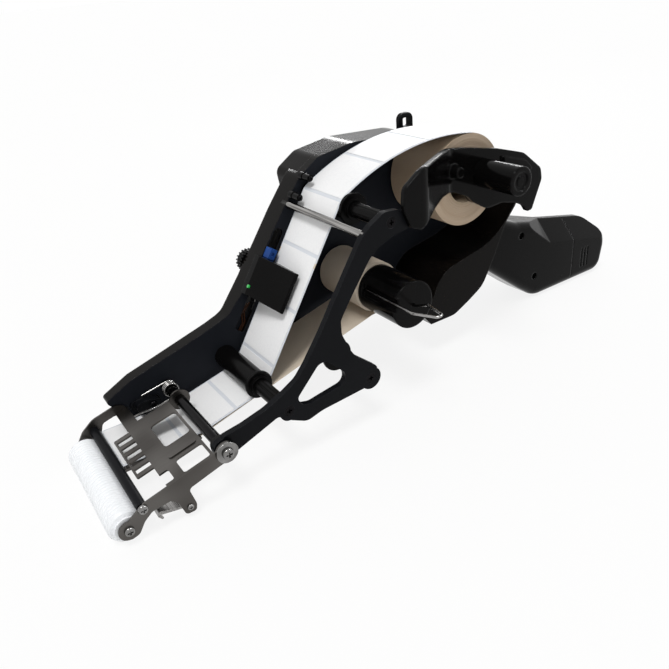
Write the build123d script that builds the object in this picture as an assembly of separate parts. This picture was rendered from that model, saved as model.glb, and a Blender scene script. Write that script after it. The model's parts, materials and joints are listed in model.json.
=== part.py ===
from build123d import *
import math
import os

# Hand-held label applicator: a far side casing and a near side plate carry a web of labels
# from a supply roll, over guide rollers and past a sensor, to a sprung bracket with a
# wiping roller. The bared liner winds onto a driven take-up hub. A battery grip is behind.
#
# The profile is drawn in the XZ plane: X runs forward to the wiping roller, Z is up from
# the table. Y is measured from the inner face of the casing wall towards the side plate.
# At the end all pieces move together so that the origin is at the middle of the footprint.

# Widths along Y
inner_width = 104.0
wall = 3.0
plate_thick = 5.0
arm_depth_tip = 11.0
arm_depth_mid = 13.0
arm_depth_top = 22.0
housing_depth = 40.0
cover_wall = 2.4
tray_depth = 60.0
tray_wall = 2.4
web_start = 3.5
web_width = 55.0

# Clearances
running_gap = 0.05
seat_gap = 0.3
slide_gap = 0.15

# Axes in the profile, as (x, z)
pivot = (207.5, 39.5)
lower_axis = (152.7, 46.0)
foot_axis = (78.0, 42.8)
upper_axis = (51.0, 164.2)
rod_axis = (73.4, 159.8)
supply_axis = (-71.6, 158.2)
spindle_axis = (-74.0, 167.4)
takeup_axis = (30.5, 90.0)
bar_axis = (272.0, 25.0)
wiper_radius = 12.75
wiper_axis = (284.0, wiper_radius)

# Rollers and shafts
sleeve_radius = 6.3
upper_barrel = 10.6
lower_barrel = 9.6
foot_barrel = 11.8
spindle_radius = 3.0
collar_flange = 1.9
collar_thick = 3.2
collar_travel = 36.0
pivot_radius = 4.5
rod_radius = 3.0
bar_radius = 3.8
screw_radius = 2.0
countersink_radius = 4.2

# Paper
liner_thick = 0.3
label_thick = 0.3
label_pitch = 47.0
label_gap = 3.0
label_margin = 1.6
label_lift = 0.02
roll_radius = 39.7
core_radius = 19.5
core_wall = 2.0
takeup_roll_radius = 21.7
takeup_hub_radius = 20.0
takeup_hub_neck = 18.2
hub_stand = 2.0

# Tip bracket, folded from sheet
sheet = 1.5
bracket_slope = 13.3
bracket_rear = (216.5, 39.8)
bracket_gap = 3.0
bracket_far = 1.0
plate_far = 27.0
comb_root = 37.0
tooth_length = 12.5
slot_pitch = 9.7
slot_width = 5.6
slot_count = 5
slot_first = 41.0
bracket_lift = 25.0

# Sensor and its carriage
sensor_place = 74.0
sensor_length = 34.0
sensor_reach = 48.0
sensor_high = 19.0
sensor_edge = 3.6
sensor_lift = 3.5
sensor_up = 24.0
sensor_down = 26.0
thumb_radius = 10.5
thumb_thick = 8.0
thumb_teeth = 20
stem_radius = 2.0

# Roll retainer
retainer_thick = 4.0
retainer_level = 72.0
retainer_pull = 24.0
handwheel_radius = 12.0
handwheel_stand = 14.0
spindle_hub_radius = 9.5
thread_radius = 4.0
stud_start = 20.0

# Drive
gear_module = 1.0
gear_face = 6.0
drive_teeth = 48
idler_teeth = 24
pinion_teeth = 12
motor_radius = 14.0

# Grip
grip_y0 = -2.0
grip_width = 46.0
grip_round = 10.0
grip_slope = 22.0
grip_wall = 2.6
cover_split = -247.0
cover_travel = 34.0
trigger_swing = 9.0
cell_radius = 7.1
cell_length = 49.0

grip_y1 = grip_y0 + grip_width
grip_mid = grip_y0 + grip_width / 2
web_end = web_start + web_width
collar_start = web_end + 0.8
plate_outer = inner_width + plate_thick
bracket_near = plate_outer + bracket_gap
hub_length = inner_width + hub_stand
handwheel_end = inner_width + handwheel_stand


def unit(angle):
    """Unit vector (x, z) at an angle above +X in degrees."""
    return (math.cos(math.radians(angle)), math.sin(math.radians(angle)))


def polar(centre, radius, angle):
    """Point (x, z) at a radius and angle from a centre."""
    c, s = unit(angle)
    return (centre[0] + radius * c, centre[1] + radius * s)


def outline(points, radius):
    """Face in the XZ plane through the points, with rounded corners."""
    path = [(x, 0, z) for x, z in points]
    return make_face(FilletPolyline(*path, radius=radius, close=True))


def wire_face(edges):
    """Face in the XZ plane bounded by edges that join end to end."""
    return make_face(Wire(edges))


def prism(face, y0, y1):
    """Solid between two Y levels."""
    return extrude(Pos(0, y0, 0) * face, amount=y1 - y0, dir=(0, 1, 0))


def slab(points, radius, y0, y1):
    """Rounded outline made solid between two Y levels."""
    return prism(outline(points, radius), y0, y1)


def disc(at, radius, y0, y1, bore=0.0):
    """Cylinder along Y, with an optional through bore."""
    where = Pos(at[0], y0, at[1]) * Rot(X=-90)
    low = (Align.CENTER, Align.CENTER, Align.MIN)
    solid = where * Cylinder(radius, y1 - y0, align=low)
    if bore > 0:
        solid -= where * Cylinder(bore, y1 - y0, align=low)
    return solid


def cone(at, r0, r1, y0, y1):
    """Cone along Y from radius r0 at y0 to r1 at y1."""
    low = (Align.CENTER, Align.CENTER, Align.MIN)
    return Pos(at[0], y0, at[1]) * Rot(X=-90) * Cone(r0, r1, y1 - y0, align=low)


def block(x0, x1, y0, y1, z0, z1):
    """Box between two corners."""
    low = (Align.MIN, Align.MIN, Align.MIN)
    return Pos(x0, y0, z0) * Box(x1 - x0, y1 - y0, z1 - z0, align=low)


def arc(centre, radius, a0, a1):
    """Arc in the XZ plane from angle a0 to a1, in degrees."""
    ends = [polar(centre, radius, a) for a in (a0, (a0 + a1) / 2, a1)]
    return ThreePointArc(*[(x, 0, z) for x, z in ends]).edge()


def line(p, q):
    """Straight edge in the XZ plane."""
    return Line((p[0], 0, p[1]), (q[0], 0, q[1])).edge()


def cross_recess(at, y, size, depth):
    """Cross-shaped driver recess that opens towards +Y at level y."""
    arm = size * 0.28
    wide = block(at[0] - size, at[0] + size, y - depth, y + 1, at[1] - arm, at[1] + arm)
    tall = block(at[0] - arm, at[0] + arm, y - depth, y + 1, at[1] - size, at[1] + size)
    return wide + tall


def pan_screw(at, seat, head, shank, length):
    """Pan-head screw whose head sits on level seat and whose shank points to -Y."""
    height = head * 0.62
    body = disc(at, head, seat, seat + height)
    body = fillet(body.edges().group_by(Axis.Y)[-1], head * 0.45)
    body -= cross_recess(at, seat + height, head * 0.55, height * 0.6)
    return body + disc(at, shank, seat - length, seat)


def sunk_screw(at, face, head, shank, length):
    """Countersunk screw with its head flush with level face."""
    depth = head - shank
    body = cone(at, shank, head, face - depth, face)
    body -= cross_recess(at, face, head * 0.5, depth * 0.55)
    return body + disc(at, shank, face - length, face - depth)


def tangent(c0, r0, c1, r1, s0, s1):
    """Contact points and left-hand angle of a straight run between two circles."""
    span = math.hypot(c1[0] - c0[0], c1[1] - c0[1])
    base = math.degrees(math.atan2(c1[1] - c0[1], c1[0] - c0[0]))
    left = base + math.degrees(math.asin((s1 * r1 - s0 * r0) / span)) + 90.0
    return polar(c0, s0 * r0, left), polar(c1, s1 * r1, left), left


# Casing profile: forward arm, hood and the rear around the supply roll
front_edge = [
    (258.0, 44.0), (234.0, 55.5), (211.0, 61.5), (161.0, 75.0), (143.5, 81.0), (120.0, 105.0),
    (103.8, 124.5), (82.4, 153.5), (61.0, 180.0),
]
hood_edge = [(41.0, 192.6), (5.0, 197.8), (-60.0, 194.0)]
rear_edge = [(-95.0, 181.0), (-125.0, 160.0), (-140.6, 143.0)]
spine_edge = [(-122.0, 108.0), (-107.0, 76.0), (-93.0, 51.5), (-76.0, 42.0), (-57.0, 33.0)]
belly_edge = [(-28.0, 32.0), (0.0, 28.0), (60.0, 22.0), (160.0, 17.0), (236.0, 14.0), (250.0, 33.0)]
housing_front = [(0.0, 28.0), (48.0, 38.0), (66.0, 66.0), (64.0, 112.0), (57.0, 150.0), (61.0, 180.0)]
cavity_radius = 69.0
tray_top_angle = 185.0
tray_low_angle = 223.0


def casing_outline():
    """Whole casing wall, seen from the side plate."""
    points = front_edge + hood_edge + rear_edge + spine_edge + belly_edge
    radii = [3, 8, 8, 20, 14, 20, 20, 30, 12] + [14, 60, 40] + [25, 25, 10] + [20, 25, 25, 20, 20]
    radii = radii + [20, 20, 40, 30, 8, 8]
    return outline(points, radii)


def housing_outline():
    """Deep rear part that holds the drive."""
    points = housing_front[1:] + hood_edge + rear_edge + spine_edge + belly_edge[:2]
    radii = [14, 14, 30, 40, 8] + [14, 60, 40] + [25, 25, 10] + [20, 25, 25, 20, 20] + [20, 14]
    return outline(points, radii)


def drive_shaft_points():
    """Axes of the idler and the motor behind the casing wall."""
    reach = gear_module * (drive_teeth + idler_teeth) / 2
    idler = polar(takeup_axis, reach, 158.0)
    reach = gear_module * (idler_teeth + pinion_teeth) / 2
    motor = polar(idler, reach, 120.0)
    return idler, motor


idler_axis, motor_axis = drive_shaft_points()
gear_level = -wall - 2.5
screw_posts = [(-116.0, 147.0), (-80.0, 58.0), (48.0, 176.0), (48.0, 54.0)]


def sensor_frame():
    """Origin on the slanted web and the unit vectors along the web and out of it."""
    start, end, left = tangent(upper_axis, upper_barrel, lower_axis, lower_barrel, 1, -1)
    along = unit(left - 90.0)
    out = unit(left)
    return (start[0] + sensor_place * along[0], start[1] + sensor_place * along[1]), along, out


def on_web(u, n):
    """Point (x, z) at u along the slanted web and n out of it."""
    origin, along, out = sensor_frame()
    return (origin[0] + u * along[0] + n * out[0], origin[1] + u * along[1] + n * out[1])


carriage = on_web(0.0, 5.3)
slot_half = 4.2
slot_ends = (-37.0, 44.0)


def slot_outline(half, start, end, level):
    """Long slot along the slanted web."""
    corners = [on_web(start, level - half), on_web(end, level - half)]
    corners += [on_web(end, level + half), on_web(start, level + half)]
    return outline(corners, half * 0.95)


def arm_back_cut():
    """Space outside the sloping far face of the forward arm."""
    points = [(262, -arm_depth_tip), (150, -arm_depth_mid), (112, -arm_depth_top)]
    points += [(40, -arm_depth_top), (40, -60), (262, -60)]
    face = make_face(Polyline(*[(x, y, 0) for x, y in points], close=True))
    return extrude(face, amount=260, dir=(0, 0, 1))


def main_casing():
    """Far side casing: wall, far skirt, and the deep tray around the rolls."""
    outer = casing_outline()
    body = prism(outer, -arm_depth_top, 0)
    inner = offset(outer, -cover_wall)
    body -= prism(inner, -arm_depth_top, -wall)
    body -= prism(housing_outline(), -arm_depth_top - 1, -wall - 6)
    body -= arm_back_cut()
    # Tray wall: a thin arc by the supply roll and a hollow pod below it
    body += tray()
    # Bores for the shafts and the slots for the sensor carriage and its leads
    for at in (pivot, lower_axis, foot_axis, upper_axis, rod_axis):
        radius = spindle_seat(at)
        boss = disc(at, radius + 2.5, -wall - 5, -wall)
        body += boss & prism(inner, -60, 0)
        body -= disc(at, radius + 0.02, -wall - 5, 0)
    body -= disc(takeup_axis, takeup_shaft + running_gap, -wall - 1, 1)
    body -= prism(slot_outline(slot_half, slot_ends[0], slot_ends[1], 5.3), -wall - 1, 1)
    body -= prism(outline(lead_window, 2), -wall - 1, 1)
    for at in (idler_axis, motor_axis):
        body -= disc(at, 2.0 + running_gap, -wall - 1, -wall + 2)
    for at in screw_posts:
        body += disc(at, 4.0, -wall - 7, -wall)
        body -= disc(at, 1.6, -wall - 7, -wall - 0.5)
    for at in peg_points:
        body -= disc(at, peg_radius * 0.6 + 0.02, -wall, 0)
    return body


def spindle_seat(at):
    """Radius of the shaft that ends in the casing wall at an axis."""
    if at == pivot:
        return pivot_radius
    if at == rod_axis:
        return rod_radius
    return spindle_radius


takeup_shaft = 5.0
lead_window = [(127.0, 84.0), (139.5, 67.0), (133.0, 60.5), (120.5, 78.0)]
peg_radius = 3.4
peg_length = 14.0
peg_points = [(58.5, 181.0), (70.1, 167.5)]


cavity_centre = (-71.6, 157.0)


def tray_face():
    """Section of the tray wall: a thin arc by the supply roll and a pod below it."""
    a = cavity_centre
    t = takeup_axis
    r = cavity_radius
    meet_a = polar(a, r, 262.0)
    meet_t = polar(t, r, 188.0)
    start = polar(a, r, tray_top_angle)
    start_out = polar(a, r + tray_wall, tray_top_angle)
    corner = polar(a, r + tray_wall, 211.0)
    edges = [arc(a, r, tray_top_angle, 262.0)]
    edges.append(line(meet_a, meet_t))
    edges.append(arc(t, r, 188.0, tray_low_angle))
    end = polar(t, r, tray_low_angle)
    run = [end] + [(-28.0, 33.0)] + spine_edge[::-1] + [corner]
    for p, q in zip(run, run[1:]):
        edges.append(line(p, q))
    edges.append(arc(a, r + tray_wall, 211.0, tray_top_angle))
    edges.append(line(start_out, start))
    face = wire_face(edges)
    smooth = {meet_a: 30.0, meet_t: 30.0, spine_edge[0]: 20.0, spine_edge[1]: 25.0, spine_edge[2]: 25.0,
              spine_edge[3]: 20.0, spine_edge[4]: 20.0}
    for (x, z), radius in smooth.items():
        near = face.vertices().sort_by_distance((x, 0, z))[0]
        face = fillet([near], radius)
    return face


def tray():
    """Curved wall that stands around the rolls, with the hollow pod at the lower rear."""
    body = prism(tray_face(), 0, tray_depth)
    hollow = outline([(-112.0, 92.0), (-104.0, 74.5), (-91.0, 54.5), (-74.5, 45.0), (-56.0, 36.5),
                      (-32.0, 36.0), (-37.5, 62.0), (-47.0, 76.0), (-70.0, 83.0), (-95.0, 89.0)], 3)
    body -= prism(hollow, -wall - 1, tray_depth - tray_wall)
    return body


def outer_cover():
    """Deep cover on the far side that closes over the drive."""
    outer = housing_outline()
    body = prism(outer, -housing_depth, -wall - 6)
    rim = body.edges().group_by(Axis.Y)[0]
    body = fillet(rim, 2.0)
    inner = offset(outer, -cover_wall)
    body -= prism(inner, -housing_depth + cover_wall, -wall - 6)
    for at in screw_posts:
        body += disc(at, 4.0, -housing_depth + 1, -wall - 7.0)
        body -= disc(at, 1.7, -housing_depth, -wall - 7.0)
        body -= disc(at, 3.2, -housing_depth, -housing_depth + 8)
    body &= prism(outer, -housing_depth, -wall - 6)
    for at in board_posts:
        body += disc(at, 2.6, -housing_depth + 1, -housing_depth + cover_wall + 6.0)
        body += disc(at, 1.35, -housing_depth + 1, -housing_depth + cover_wall + 8.6)
    for k in range(7):
        z = 120.0 + 5.0 * k
        body -= block(-60, -30, -housing_depth - 1, -housing_depth + cover_wall + 1, z, z + 1.8)
    return body


def arm_back():
    """Thin closing plate on the far side of the forward arm, slotted for the thumb wheel."""
    face = offset(casing_outline(), -cover_wall - slide_gap)
    keep = block(71.0, 300, -60, 0, -10, 260)
    body = prism(face, -wall - 3.4, -wall - 1.4) & keep
    for at in (pivot, lower_axis, foot_axis, upper_axis, rod_axis):
        body -= disc(at, spindle_seat(at) + 3.0, -60, 0)
    body -= prism(slot_outline(slot_half, slot_ends[0], slot_ends[1], 5.3), -60, 0)
    return body


plate_points = [
    (207.0, 48.6), (190.0, 51.0), (171.5, 55.5), (156.0, 62.0), (143.0, 69.0), (134.5, 78.5),
    (119.0, 99.0), (104.8, 120.5), (85.6, 148.6), (77.7, 160.0), (70.0, 166.5), (57.0, 173.5),
    (44.0, 172.5), (34.0, 164.0), (33.5, 156.5), (51.0, 153.5), (64.2, 148.5), (72.0, 142.5),
    (92.5, 115.5), (101.5, 102.5), (101.5, 91.0), (93.0, 70.5), (70.0, 50.5), (78.0, 33.5),
    (84.0, 36.5), (125.0, 34.0), (139.0, 30.5), (152.0, 37.5), (162.0, 45.5), (203.5, 31.0),
]
plate_radii = [2, 30, 30, 25, 18, 25, 40, 60, 20, 8, 12, 10, 8, 3, 3, 12, 12, 14, 20, 8, 10, 25, 6,
               3, 8, 40, 10, 6, 5, 2]
plate_window = [(120.5, 78.0), (145.0, 53.5), (141.5, 46.5), (134.0, 44.5), (103.5, 49.0), (100.5, 57.0)]


def side_plate():
    """Near side plate with its foot, window and countersunk holes."""
    body = slab(plate_points, plate_radii, inner_width, plate_outer)
    body += disc(pivot, 7.6, inner_width, plate_outer)
    body += disc(foot_axis, 9.5, inner_width, plate_outer)
    body += disc(lower_axis, 8.0, inner_width, plate_outer)
    body -= slab(plate_window, [8, 4, 5, 8, 7, 7], inner_width - 1, plate_outer + 1)
    for at in (lower_axis, foot_axis, upper_axis):
        body -= disc(at, screw_radius + 0.15, inner_width - 1, plate_outer + 1)
        sink = countersink_radius - screw_radius
        body -= cone(at, screw_radius + 0.15, countersink_radius + 0.15, plate_outer - sink, plate_outer)
    body -= disc(pivot, pivot_neck + 0.02, inner_width - 1, plate_outer + 1)
    body -= disc(rod_axis, rod_radius + 0.02, inner_width - 1, inner_width + 3)
    return body


pivot_neck = 3.4


def pivot_shaft():
    """Front shaft on which the tip bracket swings, stepped down at its near end."""
    body = disc(pivot, pivot_radius, -wall, inner_width - 0.05)
    body += disc(pivot, pivot_neck, inner_width - 0.05, bracket_near + sheet + 0.2)
    body -= disc(pivot, screw_radius, bracket_near - 12, bracket_near + sheet + 0.2)
    return body


def bushes():
    """Thin black washers stacked on the front shaft beside the plate."""
    first = disc(pivot, 7.2, inner_width - 1.6, inner_width - 0.1, pivot_radius + 0.02)
    second = disc(pivot, 6.6, inner_width - 4.0, inner_width - 2.6, pivot_radius + 0.02)
    spacer = disc(pivot, 6.4, plate_outer + 0.02, bracket_near - 0.1, pivot_neck + 0.02)
    return [first, second, spacer]


washer_thick = 1.6


def pivot_washer():
    """Large steel washer under the front screw."""
    seat = bracket_near + sheet + 0.2
    body = disc(pivot, 8.3, seat, seat + washer_thick, screw_radius + 0.1)
    return fillet(body.edges().group_by(Axis.Y)[-1].sort_by(SortBy.RADIUS)[-1], 0.5)


def pivot_screw():
    """Pan-head screw in the end of the front shaft."""
    seat = bracket_near + sheet + 0.2 + washer_thick
    return pan_screw(pivot, seat, 4.4, screw_radius - 0.02, 12)


def tie_rod():
    """Bright steel rod that ties the casing wall to the side plate."""
    return disc(rod_axis, rod_radius, -wall, inner_width + 3)


def spindles():
    """Fixed spindles inside the three guide rollers."""
    out = []
    for at in (upper_axis, lower_axis, foot_axis):
        pin = disc(at, spindle_radius, -wall, inner_width)
        pin -= disc(at, screw_radius + 0.02, inner_width - 14, inner_width)
        out.append(pin)
    return out


def plate_screws():
    """Countersunk screws that hold the side plate to the spindles."""
    out = []
    for at in (upper_axis, lower_axis, foot_axis):
        out.append(sunk_screw(at, plate_outer - 0.1, countersink_radius, screw_radius, 16))
    return out


def guide_roller(at, web_radius):
    """Roller: a barrel under the web and a grooved sleeve that the collar slides on."""
    gap = 0.4
    body = disc(at, web_radius, gap, web_end + 0.3)
    body += disc(at, sleeve_radius, web_end + 0.3, inner_width - gap)
    for side in (60.0, 240.0):
        groove = polar(at, sleeve_radius + 0.3, side)
        body -= disc(groove, 1.0, web_end + 8, inner_width - 6)
    return body - disc(at, spindle_radius + running_gap, 0, inner_width)


def collar(at, web_radius):
    """Sliding collar that guides the near edge of the web."""
    body = disc(at, web_radius + collar_flange, collar_start, collar_start + collar_thick)
    body = fillet(body.edges().filter_by(GeomType.CIRCLE), 0.7)
    body += disc(at, sleeve_radius + 2.0, collar_start + 1, collar_start + collar_thick + 3.0)
    return body - disc(at, sleeve_radius + running_gap, collar_start - 1, collar_start + 10)


def web_pegs():
    """Pegs on the wall that keep the far edge of the web in line."""
    out = []
    for at in peg_points:
        peg = disc(at, peg_radius, 0, peg_length * 0.35) + disc(at, peg_radius - 0.6, 0, peg_length)
        peg += disc(at, peg_radius * 0.6, -wall + 0.1, 0)
        peg = peg - disc(at, 0.9, peg_length - 3, peg_length)
        out.append(peg)
    return out


def peg_screws():
    """Small screws in the ends of the pegs."""
    return [pan_screw(at, peg_length, 1.9, 0.88, 2.6) for at in peg_points]


# Paper path: straight runs between circles that the strip passes over
paper_gap = 0.1
tip_edge = (268.0, 22.8)
nose_radius = 1.2
nose = (tip_edge[0] - nose_radius, tip_edge[1] - nose_radius)
peel_rear = 207.0
peel_heel = (peel_rear + nose_radius, nose[1])


def trace(wraps, out):
    """Edges of a path at a distance out to the left of its run over the circles.

    Each wrap is (centre, radius, sign): +1 when the circle lies to the right of the run."""
    circles = [(c, r + s * out, s) for c, r, s in wraps]
    runs = [tangent(a[0], a[1], b[0], b[1], a[2], b[2]) for a, b in zip(circles, circles[1:])]
    edges = []
    for k, (p, q, left) in enumerate(runs):
        edges.append(line(p, q))
        if k + 1 < len(runs):
            centre, radius, sign = circles[k + 1]
            turn = (sign * (left - runs[k + 1][2])) % 360.0
            start = left if sign > 0 else left + 180.0
            if 0.02 < turn < 350.0:
                edges.append(arc(centre, radius, start, start - sign * turn))
    return edges


def strip(wraps, thick, out):
    """Closed outline of a paper strip of a thickness, at a distance out from the circles."""
    lower = trace(wraps, out)
    upper = trace(wraps, out + thick)
    ends = []
    for k in (0, -1):
        p = lower[k] @ (0 if k == 0 else 1)
        q = upper[k] @ (0 if k == 0 else 1)
        ends.append(line((p.X, p.Z), (q.X, q.Z)))
    return make_face(lower + upper + ends)


web_bow = 196.0
dip_radius = 30.0


def bow_centre():
    """Centre of the wide curve that the slack web takes from the roll to the upper roller."""
    a = web_bow - roll_radius - paper_gap + 0.05
    b = web_bow - upper_barrel - paper_gap + 0.05
    dx = upper_axis[0] - supply_axis[0]
    dz = upper_axis[1] - supply_axis[1]
    span = math.hypot(dx, dz)
    along = (a * a - b * b + span * span) / (2 * span)
    below = math.sqrt(a * a - along * along)
    x = supply_axis[0] + (along * dx + below * dz) / span
    z = supply_axis[1] + (along * dz - below * dx) / span
    return (x, z)


def web_wraps():
    """Circles that the web of labels passes, from the supply roll to the peel edge."""
    paper = liner_thick + label_thick
    dip = (peel_heel[0], nose[1] + nose_radius + 2 * paper_gap + paper + dip_radius)
    return [
        (supply_axis, roll_radius + paper_gap, 1),
        (bow_centre(), web_bow, 1),
        (upper_axis, upper_barrel + paper_gap, 1),
        (lower_axis, lower_barrel + paper_gap + paper, -1),
        (dip, dip_radius + paper + paper_gap, -1),
        (nose, nose_radius + paper_gap, 1),
    ]


def liner_wraps():
    """Circles that the bared liner passes, from the peel edge to the take-up hub."""
    return [
        (nose, nose_radius + paper_gap, 1),
        (peel_heel, nose_radius + paper_gap, 1),
        (foot_axis, foot_barrel + paper_gap + liner_thick, -1),
        (takeup_axis, takeup_roll_radius + paper_gap, 1),
    ]


def liner_web():
    """Backing strip from the supply roll, round the peel edge and back to the take-up hub."""
    return prism(strip(web_wraps() + liner_wraps()[1:], liner_thick, 0.0), web_start, web_end)


def path_point(edges, distance):
    """Point and heading at a distance along the edges."""
    for edge in edges:
        if distance <= edge.length:
            t = distance / edge.length
            return edge @ t, edge % t
        distance -= edge.length
    return edges[-1] @ 1, edges[-1] % 1


label_first = 47.0


def labels():
    """Separate labels on the outer side of the backing strip."""
    out = liner_thick + label_lift
    path = trace(web_wraps(), out)
    body = prism(strip(web_wraps(), label_thick, out), web_start + label_margin, web_end - label_margin)
    gap_at = sum(edge.length for edge in path) - label_first
    while gap_at > label_gap:
        at, along = path_point(path, gap_at)
        angle = math.degrees(math.atan2(along.Z, along.X))
        body -= Pos(at.X, web_end / 2, at.Z) * Rot(Y=-angle) * Box(label_gap, 2 * web_end, 3.0)
        gap_at -= label_pitch
    return body


def supply_spindle():
    """Fixed hollow spindle for the supply roll; the stud of the retaining arm slides in it."""
    body = disc(spindle_axis, spindle_hub_radius + 6, 0.02, 1.6)
    body += disc(spindle_axis, spindle_hub_radius, 1.5, retainer_level - 2.0)
    return body - disc(spindle_axis, thread_radius + running_gap, stud_start - 1.0, retainer_level)


def roll_core():
    """Cardboard core of the supply roll; it hangs on the spindle."""
    return disc(supply_axis, core_radius + core_wall, web_start, web_end, core_radius)


def label_roll():
    """Wound label stock around the core."""
    return disc(supply_axis, roll_radius, web_start, web_end, core_radius + core_wall + 0.02)


retainer_points = [
    (35.6, 156.7), (42.5, 172.0), (41.5, 187.0), (23.8, 199.0), (-16.7, 197.0), (-49.9, 193.0),
    (-90.4, 184.4), (-122.8, 174.5), (-146.3, 156.2), (-148.6, 145.7), (-137.5, 119.5),
    (-131.5, 119.0), (-126.4, 125.7), (-114.4, 131.6), (-98.0, 135.6), (-79.2, 134.6),
    (-64.0, 144.0), (-57.1, 150.5), (-41.0, 158.3), (-16.6, 162.3), (2.0, 161.2), (17.2, 158.3),
    (26.0, 153.0),
]


def retaining_arm():
    """Bent arm over the near face of the supply roll, with the stud that carries it."""
    radii = [5, 12, 8, 14, 30, 30, 30, 20, 8, 8, 3, 2.5, 5, 20, 14, 14, 6, 14, 20, 30, 20, 6, 4]
    shape = slab(retainer_points, radii, 50, plate_outer + 20)
    low = retainer_level
    high = plate_outer + seat_gap
    t = retainer_thick
    lower = [(60, high), (22, high), (-34, low), (-170, low)]
    upper = [(-170, low + t), (-36, low + t), (20, high + t), (60, high + t)]
    profile = make_face(Polyline(*[(x, y, 0) for x, y in lower + upper], close=True))
    bends = [v for v in profile.vertices() if abs(v.X) < 50]
    profile = fillet(bends, 12.0)
    band = extrude(profile, amount=230, dir=(0, 0, 1))
    body = shape & band
    body += disc((-82.0, 151.0), 14.5, web_end + 1.5, low + 0.1)
    rib = [(-132.0, 160.0), (-124.0, 168.0), (-96.0, 177.0), (-96.0, 172.0), (-121.0, 163.0), (-128.0, 156.0)]
    body += slab(rib, 1.2, low + t - 0.1, low + t + 3.0)
    body += cone((-40.0, 176.0), 6.0, 4.2, low + t - 0.1, low + t + 9.0)
    body -= disc(spindle_axis, spindle_hub_radius + 0.3, 40, low - 1.9)
    return body + disc(spindle_axis, thread_radius, stud_start, handwheel_end - 14)


def handwheel():
    """Long round nut that clamps the retaining arm on the spindle."""
    start = retainer_level + retainer_thick + 0.1
    body = disc(spindle_axis, handwheel_radius, start, handwheel_end)
    body = fillet(body.edges().group_by(Axis.Y)[-1], 1.0)
    body -= disc(spindle_axis, thread_radius + running_gap, start - 1, handwheel_end - 12)
    body -= disc(spindle_axis, handwheel_radius * 0.62, handwheel_end - 1.2, handwheel_end + 1)
    body += disc(spindle_axis, 4.0, handwheel_end - 1.2, handwheel_end - 0.4)
    return body


def takeup_hub():
    """Driven hub that the bared liner winds onto; its shaft passes through the wall."""
    body = disc(takeup_axis, takeup_hub_neck, 1.2, web_end + 0.5)
    outer = disc(takeup_axis, takeup_hub_radius, web_end + 0.5, hub_length)
    outer = fillet(outer.edges().group_by(Axis.Y)[-1], 0.8)
    body += outer
    body += disc(takeup_axis, takeup_shaft, gear_level - gear_face - 14, 1.2)
    body -= disc(takeup_axis, clip_radius + 0.4, web_start + 40, hub_length + 1)
    groove = disc(clip_leg, clip_radius + 0.4, web_start + 2, hub_length + 1)
    body -= groove
    channel = [polar(clip_leg, 5.5, 106.0), polar(clip_leg, 5.5, -74.0)]
    channel += [polar(p, 8.0, 16.0) for p in channel[::-1]]
    face = make_face(Polyline(*[(x, 0, z) for x, z in channel], close=True))
    return body - prism(face, web_end + 5, hub_length + 1)


clip_radius = 1.1
clip_leg = (46.0, 94.4)


def liner_clip():
    """Steel wire hairpin that pins the liner to the hub."""
    leg = (clip_leg[0], clip_leg[1])
    top = hub_length + 46.0
    bend = hub_length + 18.0
    tip = (34.5, top, 96.0)
    points = [
        (leg[0], web_start + 6, leg[1]), (leg[0], bend, leg[1]), tip, (31.0, bend, 96.5),
        (takeup_axis[0], hub_length + 3.0, takeup_axis[1]), (takeup_axis[0], web_start + 44, takeup_axis[1]),
    ]
    path = FilletPolyline(*points, radius=[9.0, 3.0, 4.0, 3.0])
    return sweep(Plane(path @ 0, z_dir=path % 0) * Circle(clip_radius), path=path)


def liner_roll():
    """Bared liner wound on the take-up hub."""
    return disc(takeup_axis, takeup_roll_radius, web_start, web_end, takeup_hub_neck + 0.02)


def gear(at, teeth, y0, bore, phase):
    """Spur gear with straight-flanked teeth."""
    pitch = gear_module * teeth / 2
    root = pitch - 1.15 * gear_module
    tip = pitch + 0.9 * gear_module
    step = 360.0 / teeth
    points = []
    for k in range(teeth):
        mid = phase + k * step
        for radius, shift in ((root, -0.34), (tip, -0.13), (tip, 0.13), (root, 0.34)):
            points.append(polar(at, radius, mid + shift * step))
    face = make_face(Polyline(*[(x, 0, z) for x, z in points], close=True))
    body = prism(face, y0, y0 + gear_face)
    if bore > 0:
        body -= disc(at, bore, y0 - 1, y0 + gear_face + 1)
    return body


def mesh_phase(at, other, teeth, other_teeth, other_phase):
    """Phase that puts a tooth gap opposite the other gear's tooth."""
    angle = math.degrees(math.atan2(other[1] - at[1], other[0] - at[0]))
    back = angle + 180.0
    share = ((back - other_phase) / (360.0 / other_teeth)) % 1.0
    return angle + (0.5 + share) * 360.0 / teeth


gear_low = gear_level - gear_face
idler_phase = mesh_phase(idler_axis, takeup_axis, idler_teeth, drive_teeth, 0.0)
pinion_phase = mesh_phase(motor_axis, idler_axis, pinion_teeth, idler_teeth, idler_phase)


def drive_gear():
    """Large gear on the take-up shaft."""
    body = gear(takeup_axis, drive_teeth, gear_low, takeup_shaft + 0.02, 0.0)
    return body


def idler_gear():
    """Gear between the motor pinion and the drive gear, with its own stub shaft."""
    body = gear(idler_axis, idler_teeth, gear_low, 0.0, idler_phase)
    body += disc(idler_axis, 2.0, gear_low - 8, -wall + 1.6)
    return body


def motor_pinion():
    """Pinion on the motor shaft."""
    body = gear(motor_axis, pinion_teeth, gear_low, 0.0, pinion_phase)
    body += disc(motor_axis, 2.0, gear_low - 6, -wall + 1.6)
    return body


def motor():
    """Gear motor that turns the take-up hub."""
    top = gear_low - 2.5
    rear = -housing_depth + cover_wall
    body = disc(motor_axis, motor_radius, rear, top)
    body += disc(motor_axis, 4.5, top - 0.1, top + 1.8)
    body -= disc(motor_axis, 2.0 + running_gap, top - 5, top + 2)
    return body & prism(offset(housing_outline(), -cover_wall - 0.3), rear, 0)


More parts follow.
